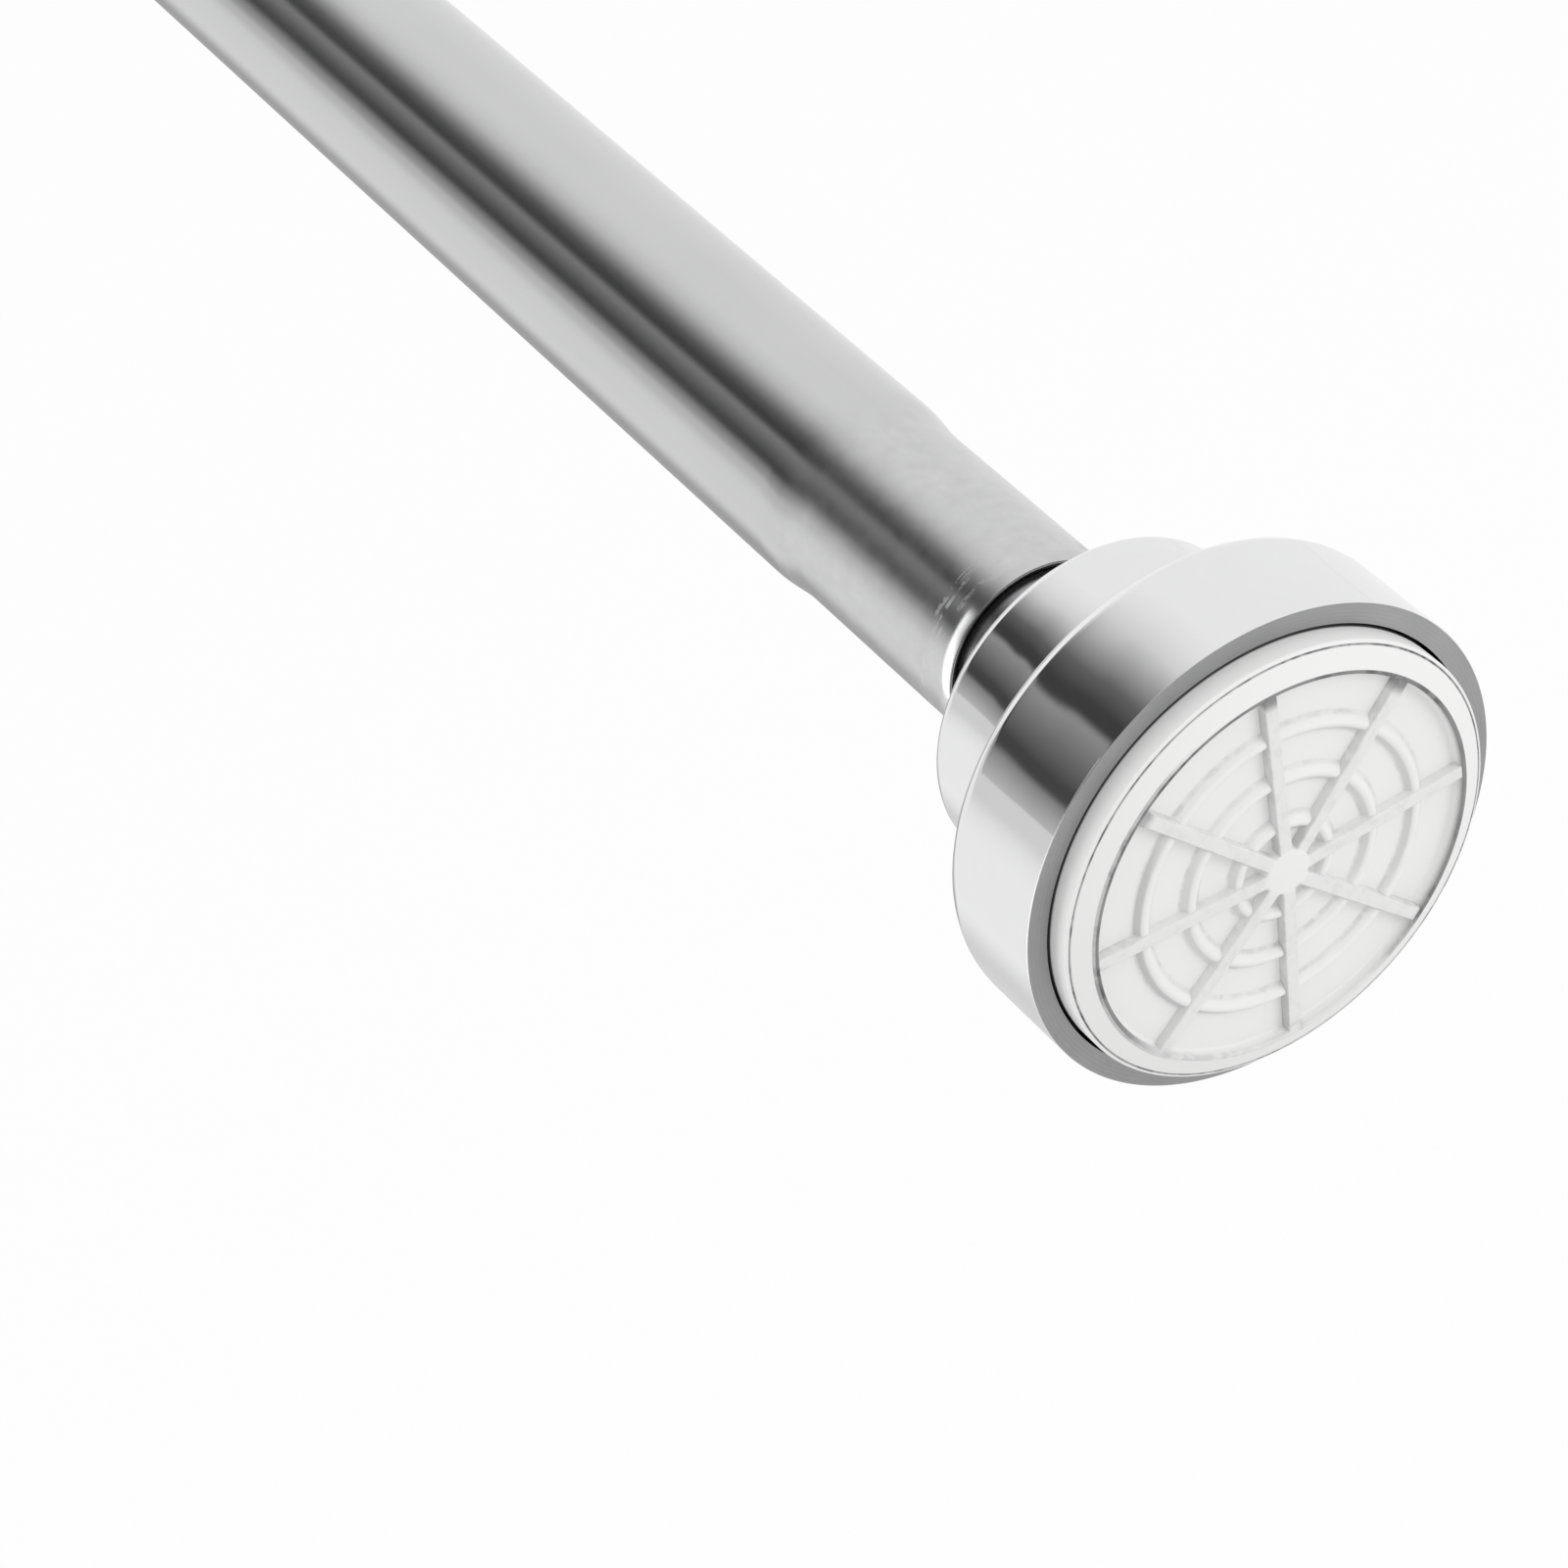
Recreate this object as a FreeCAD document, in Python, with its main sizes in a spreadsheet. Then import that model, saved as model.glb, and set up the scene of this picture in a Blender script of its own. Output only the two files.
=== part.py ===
import FreeCAD, Part
import math
import os
import re
import Sketcher

# Spring tension rod, closed to its shortest length and lying level along X.
# The origin is the middle of the left pad's wall face, +X runs to the right pad and +Z is up.
# The outer tube carries the left end. The inner tube slides out of its swaged mouth and carries
# the right end. Inside, a split collar with a drawn-in cone locks the inner tube at any length,
# and a compression spring then presses the two pads against their walls.

# Every driving size, in millimetres or degrees, as alias, value and meaning.
SIZES = [
    ("rod_length", 406.0, "wall face to wall face with the rod closed"),
    ("seat_clearance", 0.02, "radial play of pieces pressed or laid into one another"),
    ("slide_clearance", 0.06, "radial play of pieces that slide or turn in one another"),
    ("thrust_gap", 0.1, "end play between faces that bear on each other"),

    ("tube_radius", 12.5, "outside of the outer tube"),
    ("tube_wall", 0.7, "sheet thickness of the outer tube"),
    ("neck_radius", 11.9, "outside of the outer tube's swaged mouth"),
    ("neck_length", 31.4, "straight part of the swaged mouth"),
    ("taper_length", 4.6, "run from the full tube down to the swaged mouth"),
    ("taper_round", 12.0, "rounding where the taper meets both cylinders"),
    ("mouth_gap", 9.1, "from the right cap's back to the outer tube's mouth"),
    ("lip_length", 1.2, "drawn-in edge at the mouth"),
    ("lip_drop", 0.4, "how far that edge is drawn in"),
    ("bush_length", 20.0, "guide bush inside the swaged mouth"),
    ("bush_recess", 0.3, "how far the bush lies inside the mouth"),

    ("inner_radius", 10.5, "outside of the inner tube"),
    ("inner_wall", 0.6, "sheet thickness of the inner tube"),

    ("pad_proud", 4.6, "from the cap's front rim to the wall face"),
    ("drum_radius", 29.0, "outside of the cap's front drum"),
    ("drum_length", 14.0, "length of the cap's front drum"),
    ("collar_radius", 20.0, "outside of the cap's rear drum"),
    ("collar_length", 17.4, "length of the cap's rear drum"),
    ("cap_bore", 13.6, "hole in the cap's back that the tube enters"),
    ("rim_width", 2.4, "flat front rim of the cap"),
    ("cap_wall", 2.0, "wall of the cap's two back faces"),
    ("sleeve_wall", 1.8, "wall of the sleeve inside the cap"),
    ("pocket_share", 0.565, "part of the room round the sleeve that is open, the rest is wall"),
    ("partition_setback", 10.0, "from the front rim to the web that closes the sleeve"),
    ("partition_thickness", 2.5, "web that closes the sleeve and takes the screw"),
    ("cap_rib_count", 8.0, "ribs behind the pad"),
    ("cap_rib_width", 1.6, "thickness of each rib"),
    ("cap_rib_setback", 6.0, "from the front rim to the ribs' front edges"),
    ("edge_chamfer", 0.8, "broken edge at the back of both drums"),

    ("pad_gap", 0.4, "open ring between the pad and the cap's rim"),
    ("pad_foot", 2.0, "thickness of the pad's wider foot inside the cap"),
    ("shoulder_drop", 1.7, "from the wall face down to the pad's outer edge"),
    ("pad_chamfer", 0.5, "broken outer edge of the pad"),
    ("tread_radius", 22.9, "edge of the sunk tread"),
    ("tread_edge", 0.7, "from the wall face down to the tread's edge"),
    ("tread_depth", 1.3, "from the tread's edge down to its floor"),
    ("tread_crown", 0.7, "rise of the tread's floor from edge to centre"),
    ("hub_radius", 2.8, "flat middle of the tread, which meets the wall first"),
    ("spoke_count", 8.0, "straight spokes of the tread"),
    ("spoke_width", 1.5, "width of each spoke"),
    ("spoke_drop", 0.2, "how far a spoke's outer end lies under the tread's edge"),
    ("spoke_turn", 8.0, "angle of the first spoke from level"),
    ("web_spacing", 5.7, "radial pitch of the tread's ring ribs"),
    ("web_foot", 2.0, "width of a ring rib at the floor"),
    ("web_height", 0.9, "height of a ring rib over the floor"),

    ("plug_flange", 2.0, "thickness of an end plug's flange"),
    ("plug_length", 18.0, "part of an end plug inside its tube"),
    ("plug_rib_count", 6.0, "crush ribs round an end plug"),
    ("plug_rib_width", 1.6, "width of a crush rib"),
    ("plug_rib_height", 0.9, "height of a crush rib"),
    ("nose_radius", 6.0, "nose that centres an end plug in the cap"),
    ("nose_recess", 0.2, "how far the nose lies under the web it passes"),
    ("screw_radius", 2.0, "shank of the cap screw"),
    ("screw_length", 17.0, "shank length of the cap screw"),
    ("head_radius", 7.0, "flanged head of the cap screw"),
    ("head_height", 2.4, "height of that head"),
    ("drive_length", 4.4, "length of the cross recess in that head"),
    ("drive_width", 0.9, "width of the cross recess"),
    ("drive_depth", 1.3, "depth of the cross recess"),

    ("park_gap", 1.5, "from the left plug to the lock's spindle"),
    ("thread_radius", 4.0, "outside of the spindle's thread"),
    ("tip_radius", 5.5, "upset tip of the spindle, which stops the cone"),
    ("tip_length", 2.0, "length of that tip"),
    ("clip_thickness", 1.0, "thickness of the retaining ring"),
    ("clip_radius", 6.5, "outside of the retaining ring"),
    ("clip_groove", 3.3, "bottom radius of the spindle's ring groove"),
    ("clip_opening", 5.4, "mouth of the open retaining ring"),
    ("cone_length", 12.0, "length of the threaded cone"),
    ("cone_radius", 10.6, "big end of the cone"),
    ("cone_angle", 5.0, "half angle of the cone and of the collar's bore"),
    ("cone_clearance", 0.4, "play between cone and collar when unlocked"),
    ("cone_entry", 5.5, "cone outside the collar when unlocked"),
    ("key_width", 2.4, "keys that stop the cone turning in the collar"),
    ("key_radius", 11.2, "outer edge of the keys"),
    ("key_play", 0.3, "play on each side of a key"),
    ("collar_play", 0.2, "radial play of the collar in the outer tube"),
    ("collar_run", 28.0, "length of the lock collar"),
    ("collar_end", 4.0, "end wall of the lock collar"),
    ("collar_taper", 14.0, "tapered part of the collar's bore"),
    ("slot_count", 4.0, "slots that split the collar into fingers"),
    ("slot_land", 3.0, "solid ring between the slots and the end wall"),
    ("shoulder_radius", 7.5, "flange of the spindle behind the collar"),
    ("shoulder_length", 2.5, "thickness of that flange"),
    ("hex_flats", 8.0, "across flats of the spindle's hexagon"),

    ("spring_travel", 25.0, "how far the rod can be pressed shorter"),
    ("travel_margin", 1.5, "room left when it is pressed right in"),
    ("guide_flange", 3.0, "flange of the guide plug, which runs in the outer tube"),
    ("guide_barrel", 15.0, "part of the guide plug inside the inner tube"),
    ("seat_radius", 9.3, "washer on the spindle that the spring pushes"),
    ("seat_thickness", 2.0, "thickness of that washer"),
    ("stub_radius", 3.0, "turned-down end of the spindle"),
    ("stub_proud", 1.0, "stub beyond its nut"),
    ("nut_flats", 10.0, "across flats of the nut"),
    ("nut_height", 5.0, "height of the nut"),
    ("spring_length", 84.0, "compression spring as fitted"),
    ("spring_radius", 8.4, "middle radius of the spring's coil"),
    ("wire_radius", 0.8, "spring wire"),
    ("coil_count", 9.0, "turns of the spring"),
    ("stop_length", 10.0, "spring stop inside the inner tube"),
    ("stop_spigot", 6.0, "spigot that centres the spring on its stop"),
    ("spigot_radius", 7.2, "radius of that spigot"),
]

# Places worked out from the sizes. Those up to plug_end are distances from an end's own wall
# face, and those from mouth on are X positions.
PLACES = {
    "rim": "pad_proud",
    "step": "rim + drum_length",
    "cap_back": "step + collar_length",
    "cavity_radius": "drum_radius - rim_width",
    "sleeve_radius": "cap_bore + sleeve_wall",
    "pocket_radius": "sleeve_radius + pocket_share * (collar_radius - sleeve_radius)",
    "rib_front": "rim + cap_rib_setback",
    "partition_front": "rim + partition_setback",
    "partition_back": "partition_front + partition_thickness",
    "tube_seat": "partition_back + plug_flange",
    "plug_end": "tube_seat + plug_length",
    "pad_radius": "cavity_radius - pad_gap",
    "tread_floor": "tread_edge + tread_depth",
    "tread_centre": "tread_floor - tread_crown",
    "mouth": "rod_length - cap_back - mouth_gap",
    "neck_start": "mouth - neck_length",
    "taper_start": "neck_start - taper_length",
    "tube_bore": "tube_radius - tube_wall",
    "neck_bore": "neck_radius - tube_wall",
    "inner_bore": "inner_radius - inner_wall",
    "spindle_left": "plug_end + park_gap",
    "tip_right": "spindle_left + tip_length",
    "cone_left": "tip_right + thrust_gap",
    "cone_right": "cone_left + cone_length",
    "collar_left": "cone_left + cone_entry",
    "collar_right": "collar_left + collar_run",
    "collar_wall_left": "collar_right - collar_end",
    "collar_outside": "tube_bore - collar_play",
    "collar_mouth_bore": "cone_radius - cone_entry * tan(cone_angle) + cone_clearance",
    "collar_inner_bore": "collar_mouth_bore - collar_taper * tan(cone_angle)",
    "slot_end": "collar_wall_left - slot_land",
    "collar_clip_left": "collar_wall_left - thrust_gap - clip_thickness",
    "shoulder_left": "collar_right + thrust_gap",
    "shoulder_right": "shoulder_left + shoulder_length",
    "guide_left": "shoulder_right + spring_travel + travel_margin",
    "inner_left": "guide_left + guide_flange",
    "guide_right": "inner_left + guide_barrel",
    "seat_left": "guide_right + thrust_gap",
    "seat_right": "seat_left + seat_thickness",
    "nut_right": "seat_right + nut_height",
    "spindle_right": "nut_right + stub_proud",
    "stop_left": "seat_right + spring_length",
    "stop_right": "stop_left + stop_length",
}

doc = FreeCAD.newDocument("SpringTensionRod")
sheet = doc.addObject("Spreadsheet::Sheet", "Sizes")
for row, (alias, size, meaning) in enumerate(SIZES, start=1):
    sheet.set(f"A{row}", alias)
    sheet.set(f"B{row}", str(size))
    sheet.setAlias(f"B{row}", alias)
    sheet.set(f"C{row}", meaning)
doc.recompute()

ALIASES = {alias for alias, size, meaning in SIZES}
MATCH = 1e-4  # how closely an edge has to lie on its stated place, in millimetres
pieces = []


def spelled(text, owner=""):
    """Writes a formula of sizes and places out in sheet cells alone."""
    def word(found):
        name = found.group(0)
        if name in PLACES:
            return "(" + spelled(PLACES[name], owner) + ")"
        return owner + name if name in ALIASES else name
    return re.sub(r"[A-Za-z_]+", word, text)


def value(text):
    """The number a formula gives now."""
    return float(sheet.evalExpression(spelled(text)))


def bind(target, prop, text):
    """Ties a property to the sheet."""
    target.setExpression(prop, spelled(text, "Sizes."))


def new_body(name):
    """Starts a piece, whose label names its file."""
    body = doc.addObject("PartDesign::Body", name)
    body.Label = name
    pieces.append(body)
    return body


def origin_part(body, role):
    """One of the body's own origin planes or axes."""
    return next(item for item in body.Origin.OriginFeatures if item.Role == role)


def new_sketch(body, name, role):
    """A sketch on one of the body's own origin planes."""
    sketch = body.newObject("Sketcher::SketchObject", name)
    sketch.AttachmentSupport = [(origin_part(body, role), "")]
    sketch.MapMode = "FlatFace"
    return sketch


def tie(sketch, kind, item, point, text):
    """Places one point of the sketch along or across, or on the axis where the text is 0."""
    if text == "0":
        axis = -2 if kind == "DistanceX" else -1
        sketch.addConstraint(Sketcher.Constraint("PointOnObject", item, point, axis))
        return
    constraint = Sketcher.Constraint(kind, -1, 1, item, point, value(text))
    bind(sketch, f"Constraints[{sketch.addConstraint(constraint)}]", text)


def draw_outline(sketch, corners):
    """A closed run of straight lines with every corner tied to the sheet."""
    spots = [FreeCAD.Vector(value(along), value(across), 0) for along, across in corners]
    first = sketch.GeometryCount
    for spot, following in zip(spots, spots[1:] + spots[:1]):
        sketch.addGeometry(Part.LineSegment(spot, following), False)
    for k, (along, across) in enumerate(corners):
        following = first + (k + 1) % len(corners)
        sketch.addConstraint(Sketcher.Constraint("Coincident", first + k, 2, following, 1))
        tie(sketch, "DistanceX", first + k, 1, along)
        tie(sketch, "DistanceY", first + k, 1, across)


def draw_circle(sketch, radius, construction=False):
    """A circle about the origin whose radius is tied to the sheet."""
    centre, normal = FreeCAD.Vector(0, 0, 0), FreeCAD.Vector(0, 0, 1)
    item = sketch.addGeometry(Part.Circle(centre, normal, value(radius)), construction)
    sketch.addConstraint(Sketcher.Constraint("Coincident", item, 3, -1, 1))
    constraint = Sketcher.Constraint("Radius", item, value(radius))
    bind(sketch, f"Constraints[{sketch.addConstraint(constraint)}]", radius)
    return item


def draw_hexagon(sketch, flats):
    """A regular hexagon about the origin, measured across its flats."""
    corner_radius = f"({flats}) / 2 / cos(30)"
    circle = draw_circle(sketch, corner_radius, True)
    turns = [math.radians(60 * k) for k in range(6)]
    spots = [FreeCAD.Vector(math.cos(a), math.sin(a), 0) * value(corner_radius) for a in turns]
    sides = [sketch.addGeometry(Part.LineSegment(spot, following), False)
             for spot, following in zip(spots, spots[1:] + spots[:1])]
    for side, following in zip(sides, sides[1:] + sides[:1]):
        sketch.addConstraint(Sketcher.Constraint("Coincident", side, 2, following, 1))
        sketch.addConstraint(Sketcher.Constraint("PointOnObject", side, 1, circle))
    for side in sides[1:]:
        sketch.addConstraint(Sketcher.Constraint("Equal", sides[0], side))
    sketch.addConstraint(Sketcher.Constraint("PointOnObject", sides[0], 1, -1))


def revolve(body, name, kind, fill_sketch):
    """Turns a sketch of along and radius once round the rod's axis."""
    sketch = new_sketch(body, name + "Section", "XZ_Plane")
    fill_sketch(sketch)
    feature = body.newObject("PartDesign::" + kind, name)
    feature.Profile = sketch
    feature.ReferenceAxis = (sketch, ["H_Axis"])
    feature.Angle = 360
    doc.recompute()
    return feature


def turn_solid(body, name, corners):
    """A turned solid from the corners of its half section."""
    return revolve(body, name, "Revolution", lambda sketch: draw_outline(sketch, corners))


def extrude_across(body, name, kind, corners, thickness, turn="0"):
    """A plate or slot lying in a plane through the axis, its thickness centred on that plane."""
    sketch = new_sketch(body, name + "Outline", "XZ_Plane")
    if turn != "0":
        level = FreeCAD.Rotation(FreeCAD.Vector(1, 0, 0), value(turn))
        sketch.AttachmentOffset = FreeCAD.Placement(FreeCAD.Vector(0, 0, 0), level)
        bind(sketch, "AttachmentOffset.Rotation.Angle", turn)
    draw_outline(sketch, corners)
    feature = body.newObject("PartDesign::" + kind, name)
    feature.Profile = sketch
    feature.SideType = "Symmetric"
    bind(feature, "Length", thickness)
    doc.recompute()
    return feature


def repeat_round(body, feature, name, count):
    """Copies a feature round the rod's axis."""
    pattern = body.newObject("PartDesign::PolarPattern", name)
    pattern.Originals = [feature]
    pattern.Axis = (origin_part(body, "X_Axis"), [""])
    pattern.Angle = 360
    bind(pattern, "Occurrences", count)
    body.Tip = pattern
    doc.recompute()
    return pattern


def extrude_along(body, name, kind, fill_sketch, start, length):
    """A prism or a hole running along +X from the given start."""
    sketch = new_sketch(body, name + "Shape", "YZ_Plane")
    bind(sketch, "AttachmentOffset.Base.z", start)
    fill_sketch(sketch)
    feature = body.newObject("PartDesign::" + kind, name)
    feature.Profile = sketch
    feature.Reversed = kind == "Pocket"
    bind(feature, "Length", length)
    doc.recompute()
    return feature


def round_edges(body, name, kind, spots, size):
    """Rounds or chamfers the circular edges at the given places along and radii."""
    base = body.Tip
    wanted = [(value(along), value(radius)) for along, radius in spots]
    found = []
    for number, edge in enumerate(base.Shape.Edges, start=1):
        if not isinstance(edge.Curve, Part.Circle):
            continue
        place = (edge.Curve.Center.x, edge.Curve.Radius)
        if any(math.dist(place, spot) < MATCH for spot in wanted):
            found.append(f"Edge{number}")
    if len(found) < len(wanted):
        raise RuntimeError(f"{body.Label} {name}: {len(found)} of {len(wanted)} edges found")
    feature = body.newObject("PartDesign::" + kind, name)
    feature.Base = (base, found)
    bind(feature, "Radius" if kind == "Fillet" else "Size", size)
    doc.recompute()


def check_change(before, body, grows):
    """Makes sure that a feature really added or took away material."""
    after = body.Shape.Volume
    if (after > before) != grows or abs(after - before) < MATCH:
        raise RuntimeError(f"{body.Label}: the last feature changed nothing")
    return after


def from_end(side, distance):
    """X of a place given by its distance from an end's wall face."""
    return distance if side == "left" else f"rod_length - ({distance})"


def mirrored(side, corners):
    """Corners given by distance from an end's wall face and radius, as X and radius."""
    return [(from_end(side, distance), radius) for distance, radius in corners]


def outer_tube():
    """Outer tube with its swaged mouth."""
    body = new_body("outer_tube")
    turn_solid(body, "Sheet", [
        ("tube_seat", "tube_bore"), ("tube_seat", "tube_radius"),
        ("taper_start", "tube_radius"), ("neck_start", "neck_radius"),
        ("mouth - lip_length", "neck_radius"), ("mouth", "neck_radius - lip_drop"),
        ("mouth", "neck_bore"), ("neck_start", "neck_bore"), ("taper_start", "tube_bore")])
    round_edges(body, "TaperRound", "Fillet", [
        ("taper_start", "tube_radius"), ("neck_start", "neck_radius")], "taper_round")


def mouth_bush():
    """Plastic bush that lines the swaged mouth and guides the inner tube."""
    body = new_body("mouth_bush")
    left, right = "mouth - bush_recess - bush_length", "mouth - bush_recess"
    bore, outside = "inner_radius + slide_clearance", "neck_bore - seat_clearance"
    turn_solid(body, "Bush", [(left, bore), (left, outside), (right, outside), (right, bore)])


def inner_tube():
    """Inner tube."""
    body = new_body("inner_tube")
    right = "rod_length - tube_seat"
    turn_solid(body, "Sheet", [
        ("inner_left", "inner_bore"), ("inner_left", "inner_radius"),
        (right, "inner_radius"), (right, "inner_bore")])


def end_cap(side):
    """Two-drum cap: hollow shell, sleeve round the tube, screw web and ribs behind the pad."""
    body = new_body(side + "_cap")
    floor_front = "step - cap_wall"
    turn_solid(body, "Shell", mirrored(side, [
        ("rim", "cavity_radius"), ("rim", "drum_radius"), ("step", "drum_radius"),
        ("step", "collar_radius"), ("cap_back", "collar_radius"), ("cap_back", "cap_bore"),
        ("partition_back", "cap_bore"), ("partition_back", "nose_radius + seat_clearance"),
        ("partition_front", "nose_radius + seat_clearance"),
        ("partition_front", "sleeve_radius"), ("cap_back - cap_wall", "sleeve_radius"),
        ("cap_back - cap_wall", "pocket_radius"),
        (floor_front, "pocket_radius"), (floor_front, "cavity_radius")]))
    round_edges(body, "BackEdges", "Chamfer", mirrored(side, [
        ("step", "drum_radius"), ("cap_back", "collar_radius")]), "edge_chamfer")
    volume = body.Shape.Volume
    drum_root, collar_root = "drum_radius - rim_width / 2", "(pocket_radius + collar_radius) / 2"
    rib = extrude_across(body, "Rib", "Pad", mirrored(side, [
        ("rib_front", "sleeve_radius"), ("rib_front", drum_root),
        ("step - cap_wall / 2", drum_root), ("step - cap_wall / 2", collar_root),
        ("cap_back - cap_wall / 2", collar_root),
        ("cap_back - cap_wall / 2", "sleeve_radius - sleeve_wall / 2"),
        ("partition_front", "sleeve_radius - sleeve_wall / 2"),
        ("partition_front", "sleeve_radius")]), "cap_rib_width")
    repeat_round(body, rib, "Ribs", "cap_rib_count")
    check_change(volume, body, True)


def end_pad(side):
    """Soft pad: wider foot in the cap, sloped outer ring and sunk web tread."""
    body = new_body(side + "_pad")
    foot_front = "rib_front - pad_foot"
    turn_solid(body, "Disc", mirrored(side, [
        ("rib_front", "0"), ("rib_front", "cavity_radius - seat_clearance"),
        (foot_front, "cavity_radius - seat_clearance"), (foot_front, "pad_radius"),
        ("shoulder_drop + pad_chamfer", "pad_radius"), ("shoulder_drop", "pad_radius - pad_chamfer"),
        ("tread_edge", "tread_radius"), ("tread_floor", "tread_radius"),
        ("tread_centre", "hub_radius"), ("0", "hub_radius"), ("0", "0")]))

    def web_rings(sketch):
        for ring in range(1, 4):
            middle = f"web_spacing * {ring}"
            floor = f"tread_centre + tread_crown * ({middle} + web_foot / 2) / tread_radius"
            top = floor + " - web_height"
            draw_outline(sketch, mirrored(side, [
                ("rim", middle + " - web_foot / 2"), (floor, middle + " - web_foot / 2"),
                (top, middle),
                (floor, middle + " + web_foot / 2"), ("rim", middle + " + web_foot / 2")]))

    volume = body.Shape.Volume
    revolve(body, "WebRings", "Revolution", web_rings)
    volume = check_change(volume, body, True)
    spoke = extrude_across(body, "Spoke", "Pad", mirrored(side, [
        ("rim", "hub_radius / 2"), ("0", "hub_radius / 2"), ("0", "hub_radius"),
        ("tread_edge + spoke_drop", "tread_radius + spoke_drop"),
        ("rim", "tread_radius + spoke_drop")]), "spoke_width", "spoke_turn")
    repeat_round(body, spoke, "Spokes", "spoke_count")
    check_change(volume, body, True)


def end_plug(side):
    """Moulded plug that is pressed into a tube's end and takes the cap screw."""
    body = new_body(side + "_plug")
    bore = "tube_bore" if side == "left" else "inner_bore"
    core = bore + " - plug_rib_height"
    hole = "screw_radius + seat_clearance"
    nose = "partition_front + nose_recess"
    turn_solid(body, "Moulding", mirrored(side, [
        (nose, hole), (nose, "nose_radius"), ("partition_back", "nose_radius"),
        ("partition_back", "tube_radius"), ("tube_seat", "tube_radius"), ("tube_seat", core),
        ("plug_end", core), ("plug_end", hole)]))
    volume = body.Shape.Volume
    rib_foot = core + " - plug_rib_height"
    rib_crest = f"sqrt(({bore} - seat_clearance)^2 - (plug_rib_width / 2)^2)"
    rib = extrude_across(body, "CrushRib", "Pad", mirrored(side, [
        ("tube_seat", rib_foot), ("tube_seat", rib_crest),
        ("plug_end", rib_crest), ("plug_end", rib_foot)]), "plug_rib_width")
    repeat_round(body, rib, "CrushRibs", "plug_rib_count")
    check_change(volume, body, True)


def cap_screw(side):
    """Screw that draws the cap onto its plug."""
    body = new_body(side + "_screw")
    head_front = "partition_front - head_height"
    shank_end = "partition_front + screw_length"
    turn_solid(body, "Turned", mirrored(side, [
        (head_front, "0"), (head_front, "head_radius"), ("partition_front", "head_radius"),
        ("partition_front", "screw_radius"), (shank_end, "screw_radius"), (shank_end, "0")]))
    volume = body.Shape.Volume
    drive_floor = head_front + " + drive_depth"
    slot = extrude_across(body, "DriveSlot", "Pocket", mirrored(side, [
        (head_front + " - drive_depth", "0"), (head_front + " - drive_depth", "drive_length / 2"),
        (drive_floor, "drive_length / 2"), (drive_floor, "0")]), "drive_width")
    repeat_round(body, slot, "CrossRecess", "4")
    check_change(volume, body, False)


def collar_clip():
    """Open ring in the spindle's groove, which keeps the collar on the spindle."""
    body = new_body("collar_clip")
    left, right = "collar_clip_left", "collar_clip_left + clip_thickness"
    bore = "clip_groove + seat_clearance"
    turn_solid(body, "Ring", [
        (left, bore), (left, "clip_radius"), (right, "clip_radius"), (right, bore)])
    volume = body.Shape.Volume
    extrude_across(body, "Opening", "Pocket", [
        (left + " - clip_thickness", "0"), (right + " + clip_thickness", "0"),
        (right + " + clip_thickness", "clip_radius * 2"),
        (left + " - clip_thickness", "clip_radius * 2")], "clip_opening")
    check_change(volume, body, False)


def cone_nut():
    """Threaded cone that is drawn into the split collar, with keys that ride in its slots."""
    body = new_body("cone_nut")
    bore = "thread_radius + slide_clearance"
    small_end = "cone_radius - cone_length * tan(cone_angle)"
    turn_solid(body, "Cone", [
        ("cone_left", bore), ("cone_left", "cone_radius"),
        ("cone_right", small_end), ("cone_right", bore)])
    volume = body.Shape.Volume
    key = extrude_across(body, "Key", "Pad", [
        ("cone_left", "cone_radius / 2"), ("cone_left", "key_radius"),
        ("cone_right", "key_radius"), ("cone_right", "cone_radius / 2")], "key_width")
    repeat_round(body, key, "Keys", "slot_count")
    check_change(volume, body, True)


def lock_collar():
    """Split collar whose fingers the cone spreads against the outer tube."""
    body = new_body("lock_collar")
    taper_end = "collar_left + collar_taper"
    hole = "thread_radius + slide_clearance"
    turn_solid(body, "Sleeve", [
        ("collar_left", "collar_mouth_bore"), ("collar_left", "collar_outside"),
        ("collar_right", "collar_outside"), ("collar_right", hole),
        ("collar_wall_left", hole), ("collar_wall_left", "collar_inner_bore"),
        (taper_end, "collar_inner_bore")])
    volume = body.Shape.Volume
    slot = extrude_across(body, "Slot", "Pocket", [
        ("collar_left - cone_entry", "0"), ("slot_end", "0"),
        ("slot_end", "tube_radius"), ("collar_left - cone_entry", "tube_radius")],
        "key_width + key_play * 2")
    repeat_round(body, slot, "Slots", "slot_count")
    check_change(volume, body, False)


def spindle():
    """Lock spindle: upset tip, thread, ring groove, shoulder, sliding hexagon and stub."""
    body = new_body("spindle")
    clip_right = "collar_clip_left + clip_thickness"
    turn_solid(body, "Shaft", [
        ("spindle_left", "0"), ("spindle_left", "tip_radius"),
        ("tip_right", "tip_radius"), ("tip_right", "thread_radius"),
        ("collar_clip_left", "thread_radius"), ("collar_clip_left", "clip_groove"),
        (clip_right, "clip_groove"), (clip_right, "thread_radius"),
        ("shoulder_left", "thread_radius"), ("shoulder_left", "shoulder_radius"),
        ("shoulder_right", "shoulder_radius"), ("shoulder_right", "stub_radius"),
        ("spindle_right", "stub_radius"), ("spindle_right", "0")])
    volume = body.Shape.Volume
    extrude_along(body, "Hexagon", "Pad", lambda sketch: draw_hexagon(sketch, "hex_flats"),
                  "shoulder_right", "seat_left - shoulder_right")
    check_change(volume, body, True)


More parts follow.
